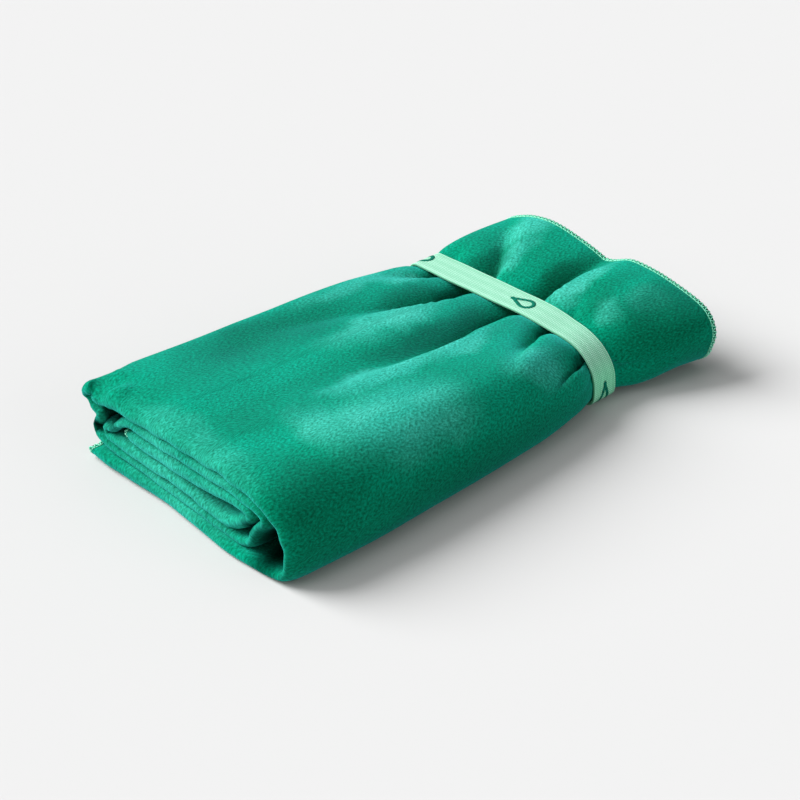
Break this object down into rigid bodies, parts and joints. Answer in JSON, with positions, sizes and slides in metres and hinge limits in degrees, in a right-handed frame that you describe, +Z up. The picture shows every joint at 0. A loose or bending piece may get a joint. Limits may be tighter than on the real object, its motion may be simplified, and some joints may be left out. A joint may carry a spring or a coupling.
{
  "type": "folded quick-dry towel",
  "caption": "Soft microfibre travel towel folded into a flat oblong pack and held by a slide-off loop of woven elastic printed with plain drop marks.",
  "frame": {"origin": "middle of the folded pack's underside, on the surface it rests on", "axes": "+Z up; +Y along the pack from the bights towards the hemmed end and the elastic; +X towards the rounded long side that the outer wrap goes around"},
  "size_m": [0.1704, 0.316, 0.0484],
  "materials": {
    "towel_cloth": "brushed microfibre with a short soft nap",
    "hem_thread": "twisted polyester overlock thread",
    "elastic_weave": "fine matt polyester weave",
    "rubber_strand": "natural rubber, bare",
    "seam_thread": "twisted polyester thread",
    "mark_yarn": "dark green yarn woven into the face"
  },
  "bodies": {
    "towel": {"towel_cloth": "towel_cloth", "hem_needle_thread": "hem_thread", "hem_upper_looper_thread": "hem_thread", "hem_lower_looper_thread": "hem_thread"},
    "band": {"band_outer_weave": "elastic_weave", "band_inner_weave": "elastic_weave", "band_rubber_strands": "rubber_strand", "band_seam_stitches": "seam_thread", "band_marks": "mark_yarn"}
  },
  "joints": [
    {"name": "band_slide", "type": "slide", "parent": "towel", "child": "band", "axis": [0, 1, 0], "range_m": [0, 0.11], "deforming": ["band_outer_weave", "band_inner_weave", "band_rubber_strands", "band_seam_stitches", "band_marks"]}
  ]
}
